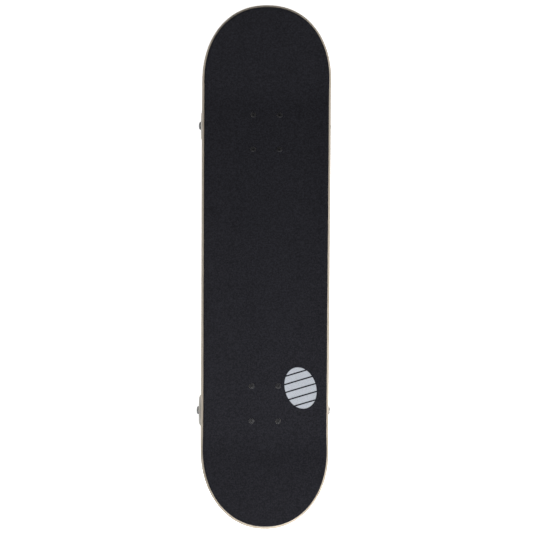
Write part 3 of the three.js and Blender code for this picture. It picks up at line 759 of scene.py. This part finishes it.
urethane = Finish("bushing_urethane", Roughness=0.38)
cloud = urethane.noise(120.0, 3.0, 0.5)
urethane.feed("Base Color", urethane.mix(cloud, bushing_red, bushing_pale))
urethane.feed("Roughness", urethane.noise(900.0) * 0.2 + 0.30)
urethane.bumps(urethane.noise(800.0, 3.0), 0.00004)


def rounded_ring(bore, outside, top, bottom, rim, rows_between):
    """The section of a moulded ring: outside(share) is its radius from top to bottom."""
    points = [(bore, top), (outside(0.0) - rim, top)]
    for row in range(rows_between + 1):
        share = row / rows_between
        along = top + rim + (bottom - top - 2 * rim) * share
        points.append((outside(share), along))
    return points + [(outside(1.0) - rim, bottom), (bore, bottom)]


bore = kingpin_radius + 0.0001
thread_start = kingpin_end - kingpin_thread
pin_profile = [(0.0, kingpin_end), (kingpin_radius - 0.0006, kingpin_end)]
pin_profile += threaded(kingpin_radius, kingpin_end - 0.0005, thread_start, fine_pitch)
pin_profile += [(kingpin_radius, thread_start - 0.0005), (kingpin_radius, kingpin_start)]
pin_profile += [(0.0, kingpin_start)]
kingpin = coat(smooth_shaded(turned("kingpin_front", pin_profile, kingpin_foot, down_pin, 40), 32.0), zinc)


def cup_washer(name, top, bottom, radius):
    """A stamped steel washer with a turned-down rim."""
    section = [(bore, top), (radius - 0.0012, top), (radius, top + washer_dish), (radius, bottom - 0.0002),
               (radius - 0.0003, bottom), (bore, bottom)]
    return coat(softened(turned(name, section, kingpin_foot, down_pin, 64), 0.0002), zinc)


def barrel_side(share):
    """The outside radius of the board side bushing, from its top to its bottom."""
    return barrel_radius + barrel_swell * math.sin(math.pi * share)


def cone_side(share):
    """The outside radius of the road side bushing, from its top to its bottom."""
    return cone_radius - cone_taper * share**1.3


board_washer = cup_washer("board_side_washer_front", *stack["board_washer"], board_washer_radius)
road_washer = cup_washer("road_side_washer_front", *stack["road_washer"], road_washer_radius)
barrel_section = rounded_ring(bore, barrel_side, *stack["board_bushing"], bushing_rim, 12)
barrel = turned("board_side_bushing_front", barrel_section, kingpin_foot, down_pin, 64)
cone_section = rounded_ring(bore, cone_side, *stack["road_bushing"], bushing_rim, 10)
cone = turned("road_side_bushing_front", cone_section, kingpin_foot, down_pin, 64)
for bushing in (barrel, cone):
    coat(softened(bushing, 0.0003), urethane)
pin_nut_seat = kingpin_foot + down_pin * stack["nut"][0]
pin_nut, pin_nylon = lock_nut(
    "kingpin_nut_front", kingpin_nut_flats, kingpin_nut_height, kingpin_radius + thread_play,
    pin_nut_seat, down_pin)


def squeezed(piece, end, near, far):
    """Bakes a bushing's place into its mesh; the points at its washer and its eye are worked out but not
    used.
    """
    shift = to_rear if end == "rear" else Matrix.Identity(4)
    shift @ (kingpin_foot + down_pin * near)
    shift @ (kingpin_foot + down_pin * far)
    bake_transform(piece)


def at_end(piece, end):
    """The piece itself at the front truck, a copy of it at the rear one."""
    return piece if end == "front" else copied(piece, piece.name.replace("_front", "_rear"), to_rear)


hard_pieces = {
    "kingpin": kingpin, "board_side_washer": board_washer,
    "road_side_washer": road_washer, "kingpin_nut": pin_nut,
}
for end in ends:
    for node, piece in hard_pieces.items():
        fitted(at_end(piece, end), "board", f"{end}_{node}")
    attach(at_end(pin_nylon, end), "board")
    for piece, node, near, far in (
            (barrel, "board_side_bushing", *stack["board_bushing"]),
            (cone, "road_side_bushing", *reversed(stack["road_bushing"]))):
        bushing = at_end(piece, end)
        squeezed(bushing, end, near, far)
        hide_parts(f"{end}_{node}")


# ---- Pivot cups --------------------------------------------------------------------------------
# Moulded black urethane thimbles pressed into the baseplates, in which the hangers' pivot balls turn.

pivot_tilt = math.radians(20.0)
pivot_outboard, pivot_drop = 0.030, 0.0125
pivot_middle = Vector((0.0, front_truck_y + pivot_outboard, plate_top - pivot_drop))
up_pivot = Vector((0.0, math.sin(pivot_tilt), math.cos(pivot_tilt)))
cup_inside, cup_outside, cup_mouth = 0.0064, 0.0083, 0.0015
cup_black, cup_grey = (0.014, 0.014, 0.015), (0.03, 0.03, 0.032)

moulded = Finish("moulded_urethane", Roughness=0.5)
moulded.feed("Base Color", moulded.mix(moulded.noise(500.0), cup_black, cup_grey))
moulded.bumps(moulded.noise(1200.0), 0.00004)

bowl_turns = [step * math.pi / 20 for step in range(11)]
cup_section = [(cup_inside * math.sin(turn), cup_inside * math.cos(turn)) for turn in bowl_turns]
cup_section += [(cup_inside + 0.0002, -cup_mouth), (cup_outside, -cup_mouth)]
cup_section += [(cup_outside, cup_outside), (0.0, cup_outside)]
cup = coat(softened(turned("pivot_cup_front", cup_section, pivot_middle, up_pivot, 48), 0.0003), moulded)
fitted(copied(cup, "pivot_cup_rear", to_rear), "board", "rear_pivot_cup")
fitted(cup, "board", "front_pivot_cup")


# ---- Axles -------------------------------------------------------------------------------------
# Ground steel rods cast into the hangers, threaded at both ends.

axle_low, axle_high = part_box("front_axle")
axle_middle = (axle_low + axle_high) / 2
axle_end = (axle_high.x - axle_low.x) / 2
axle_radius = 0.00397
rightwards = Vector((1.0, 0.0, 0.0))
thread_length = 0.0115
half_axle = [(axle_radius - 0.0007, axle_end)]
half_axle += threaded(axle_radius - 0.0001, axle_end - 0.0006, axle_end - thread_length, fine_pitch)
half_axle += [(axle_radius, axle_end - thread_length - 0.0005)]
other_half = [(radius, -along) for radius, along in reversed(half_axle)]
axle_section = [(0.0, axle_end), *half_axle, *other_half, (0.0, -axle_end)]
axle = coat(smooth_shaded(turned("axle_front", axle_section, axle_middle, rightwards, 40), 32.0), zinc)
fitted(copied(axle, "axle_rear", to_rear), "rear_truck", "rear_axle")
fitted(axle, "front_truck", "front_axle")


# ---- Wheels ------------------------------------------------------------------------------------
# Solid wheels 52 mm across, poured in off-white urethane and turned to shape: a flat tread, rounded
# shoulders, slightly dished sides and a seat for a bearing on each side of a thin wall.

wheel_low, wheel_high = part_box("front_right_wheel")
wheel_middle = Vector(((wheel_low.x + wheel_high.x) / 2, axle_middle.y, axle_middle.z))
wheel_radius, wheel_half = axle_middle.z, 0.016
tread_half = 0.0092
side_radius = 0.0185
side_dish = ((0.0165, 0.0003), (0.0140, 0.0008), (0.0126, 0.0010))
seat_radius, wall_radius, wall_half = 0.01105, 0.009, 0.00495
shoulder_steps = 12
worn_from, worn_over = 0.0235, 0.0025
urethane_white = (0.47, 0.45, 0.41)
urethane_worn = (0.27, 0.255, 0.235)

poured = Finish("wheel_urethane", Roughness=0.45)
tread_share = poured.stored("tread")
scuffs = poured.noise(150.0, 5.0, 0.65)
streaks = poured.noise(160.0, 5.0, 0.7, (0.35, 1.0, 1.0))
soil = tread_share * (scuffs * 0.45 + streaks.ramp(0.40, 0.75) * 0.4) + scuffs.ramp(0.5, 0.85) * 0.15
poured.feed("Base Color", poured.mix(soil.ramp(0.0, 1.0), urethane_white, urethane_worn))
poured.feed("Roughness", tread_share * 0.25 + scuffs * 0.15 + 0.30)
poured.bumps(scuffs * 0.6 + poured.noise(1100.0, 3.0) * 0.4, 0.00009)


def wheel_side(sign):
    """Section points of one side, from the tread in to the bearing's wall."""
    points = []
    for step in range(shoulder_steps + 1):
        turn = math.pi / 2 * (1 - step / shoulder_steps)
        reach = side_radius + (wheel_radius - side_radius) * math.sin(turn)
        points.append((reach, tread_half + (wheel_half - tread_half) * math.cos(turn)))
    points += [(radius, wheel_half - sink) for radius, sink in side_dish]
    points += [(seat_radius + 0.0004, wheel_half - 0.0016), (seat_radius, wheel_half - 0.0022)]
    points += [(seat_radius, wall_half), (wall_radius, wall_half)]
    return [(radius, sign * along) for radius, along in points]


tread_rows = [(wheel_radius, tread_half * share) for share in (-0.5, 0.0, 0.5)]
wheel_section = [*reversed(wheel_side(-1)), *tread_rows, *wheel_side(1)]
wheel = turned("wheel_front_right", wheel_section, wheel_middle, rightwards, 96)
tread = wheel.data.attributes.new("tread", "FLOAT", "POINT")
for corner in wheel.data.vertices:
    offset = corner.co - wheel_middle
    reach = math.hypot(offset.y, offset.z)
    tread.data[corner.index].value = smooth((reach - worn_from) / worn_over)
coat(smooth_shaded(wheel, 50.0), poured)

turn_about_axle = Matrix.Translation(axle_middle) @ half_turn @ Matrix.Translation(-axle_middle)
corner_moves = {
    "front_right": Matrix.Identity(4),
    "front_left": turn_about_axle,
    "rear_left": to_rear,
    "rear_right": to_rear @ turn_about_axle,
}


def at_every_corner(piece, body, node):
    """Fits a piece made for the front right wheel at all four wheels; no node when it only adds detail."""
    stem = piece.name.replace("_front_right", "")
    for corner, move in corner_moves.items():
        each = piece if corner == "front_right" else copied(piece, f"{stem}_{corner}", move)
        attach(each, body.format(corner=corner, end=corner.split("_")[0]))
        if node:
            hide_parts(node.format(corner=corner))


at_every_corner(wheel, "{corner}_rolling", "{corner}_wheel")


# ---- Bearings, spacers and axle nuts -----------------------------------------------------------
# Each wheel turns on two 608 ball bearings. Their outer races and rubber shields turn with the wheel;
# the inner races, the spacer between them and the two thin speed rings are clamped by the axle nut.
# Seven steel balls run in a nylon cage between the grooves of each pair of races.

bearing_outside, bearing_width, race_wall = 0.011, 0.007, 0.0018
inner_race, inner_bore = 0.0060, 0.00405
ball_circle, ball_radius, ball_count = 0.0075, 0.00198, 7
groove_radius = 0.00202
spacer_radius, spacer_length = 0.0051, 0.010
ring_width, ring_outside = 0.0012, 0.0060
cage_inside, cage_outside, cage_start, cage_end = 0.0066, 0.0085, 0.0021, 0.0023
shield_inside, shield_outside = 0.00625, bearing_outside - race_wall
shield_thickness, shield_dish = 0.0006, 0.0002
shield_faces = {"near": 0.0004, "far": bearing_width - 0.0010}
axle_nut_flats = 0.0127
steel_bright, steel_dull = (0.66, 0.67, 0.69), (0.58, 0.59, 0.61)
shield_black, shield_grey = (0.018, 0.018, 0.020), (0.035, 0.035, 0.038)

ground = Finish("ground_steel", Metallic=1.0, Roughness=0.2)
fine_lines = ground.noise(2600.0, 2.0, 0.5)
ground.feed("Base Color", ground.mix(ground.noise(200.0), steel_bright, steel_dull))
ground.feed("Roughness", fine_lines * 0.16 + 0.14)
ground.bumps(fine_lines, 0.00001)

shield_rubber = Finish("shield_rubber", Roughness=0.5)
cloudy = shield_rubber.noise(600.0)
shield_rubber.feed("Base Color", shield_rubber.mix(cloudy, shield_black, shield_grey))
shield_rubber.bumps(shield_rubber.noise(1800.0), 0.00003)


def plain_ring(name, inside, outside, start, length, finish):
    """A turned steel ring on the front right axle, start being its distance from the wheel's middle."""
    section = [(inside, start), (outside, start), (outside, start + length), (inside, start + length)]
    return coat(softened(turned(name, section, wheel_middle, rightwards, 64), 0.00025), finish)


def race(name, running, back, middle):
    """One race of a bearing: a ring from its back to its running face, in which a groove is ground."""
    span = math.acos(abs(running - ball_circle) / groove_radius)
    deep = math.copysign(groove_radius, running - ball_circle)
    groove = []
    for step in range(13):
        turn = span * (1 - step / 6)
        groove.append((ball_circle + deep * math.cos(turn), middle - groove_radius * math.sin(turn)))
    section = [(back, middle - bearing_width / 2), (running, middle - bearing_width / 2), *groove,
               (running, middle + bearing_width / 2), (back, middle + bearing_width / 2)]
    return coat(softened(turned(name, section, wheel_middle, rightwards, 64), 0.0002), ground)


def balls(name, middle):
    """The balls of one bearing, evenly spaced."""
    spheres = []
    for step in range(ball_count):
        turn = math.tau * step / ball_count
        centre = wheel_middle + Vector((middle, ball_circle * math.sin(turn), ball_circle * math.cos(turn)))
        bpy.ops.mesh.primitive_uv_sphere_add(
            segments=20, ring_count=12, radius=ball_radius, location=centre)
        spheres.append(bpy.context.object)
    select_only(*spheres)
    bpy.ops.object.join()
    spheres[0].name = name
    bpy.ops.object.transform_apply(location=True, rotation=True, scale=True)
    return coat(smooth_shaded(spheres[0], 60.0), ground)


def shield_section(low, flipped):
    """The section of a shield, dished on the side that faces out of its bearing."""
    high = low + shield_thickness
    section = [
        (shield_inside, low), (shield_outside, low), (shield_outside, high), (0.0086, high),
        (0.0083, high - shield_dish), (0.0070, high - shield_dish), (0.0067, high), (shield_inside, high)]
    return [(radius, low + high - along) for radius, along in section] if flipped else section


for place, start in (("inboard", -spacer_length / 2 - bearing_width), ("outboard", spacer_length / 2)):
    middle = start + bearing_width / 2
    outer = race(f"{place}_outer_race_front_right", bearing_outside - race_wall, bearing_outside, middle)
    at_every_corner(outer, "{corner}_rolling", f"{{corner}}_{place}_bearing")
    at_every_corner(balls(f"{place}_balls_front_right", middle), "{corner}_rolling", None)
    cage_section = [
        (cage_inside, middle + cage_start), (cage_outside, middle + cage_start),
        (cage_outside, middle + cage_end), (cage_inside, middle + cage_end)]
    cage = turned(f"{place}_cage_front_right", cage_section, wheel_middle, rightwards, 64)
    at_every_corner(coat(smooth_shaded(cage), nylon), "{corner}_rolling", None)
    for face, inset in shield_faces.items():
        section = shield_section(start + inset, face == "near")
        shield = turned(f"{place}_{face}_shield_front_right", section, wheel_middle, rightwards, 64)
        coat(smooth_shaded(shield, 30.0), shield_rubber)
        at_every_corner(shield, "{corner}_rolling", None)
    inner = race(f"{place}_inner_race_front_right", inner_race, inner_bore, middle)
    at_every_corner(inner, "{end}_truck", None)

spacer = plain_ring(
    "bearing_spacer_front_right", inner_bore, spacer_radius, -spacer_length / 2, spacer_length, ground)
at_every_corner(spacer, "{end}_truck", "{corner}_bearing_sleeve")
half_stack = spacer_length / 2 + bearing_width
for place, start in (("inboard", -half_stack - ring_width), ("outboard", half_stack)):
    thin = plain_ring(f"{place}_speed_ring_front_right", inner_bore, ring_outside, start, ring_width, zinc)
    at_every_corner(thin, "{end}_truck", None)

nut_low, nut_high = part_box("front_right_axle_nut")
nut_seat = Vector((nut_low.x, axle_middle.y, axle_middle.z))
axle_nut, axle_nylon = lock_nut(
    "axle_nut_front_right", axle_nut_flats, nut_high.x - nut_low.x, axle_radius + thread_play,
    nut_seat, rightwards)
axle_nylon.name = "axle_nut_nylon_front_right"
at_every_corner(axle_nut, "{end}_truck", "{corner}_axle_nut")
at_every_corner(axle_nylon, "{end}_truck", None)
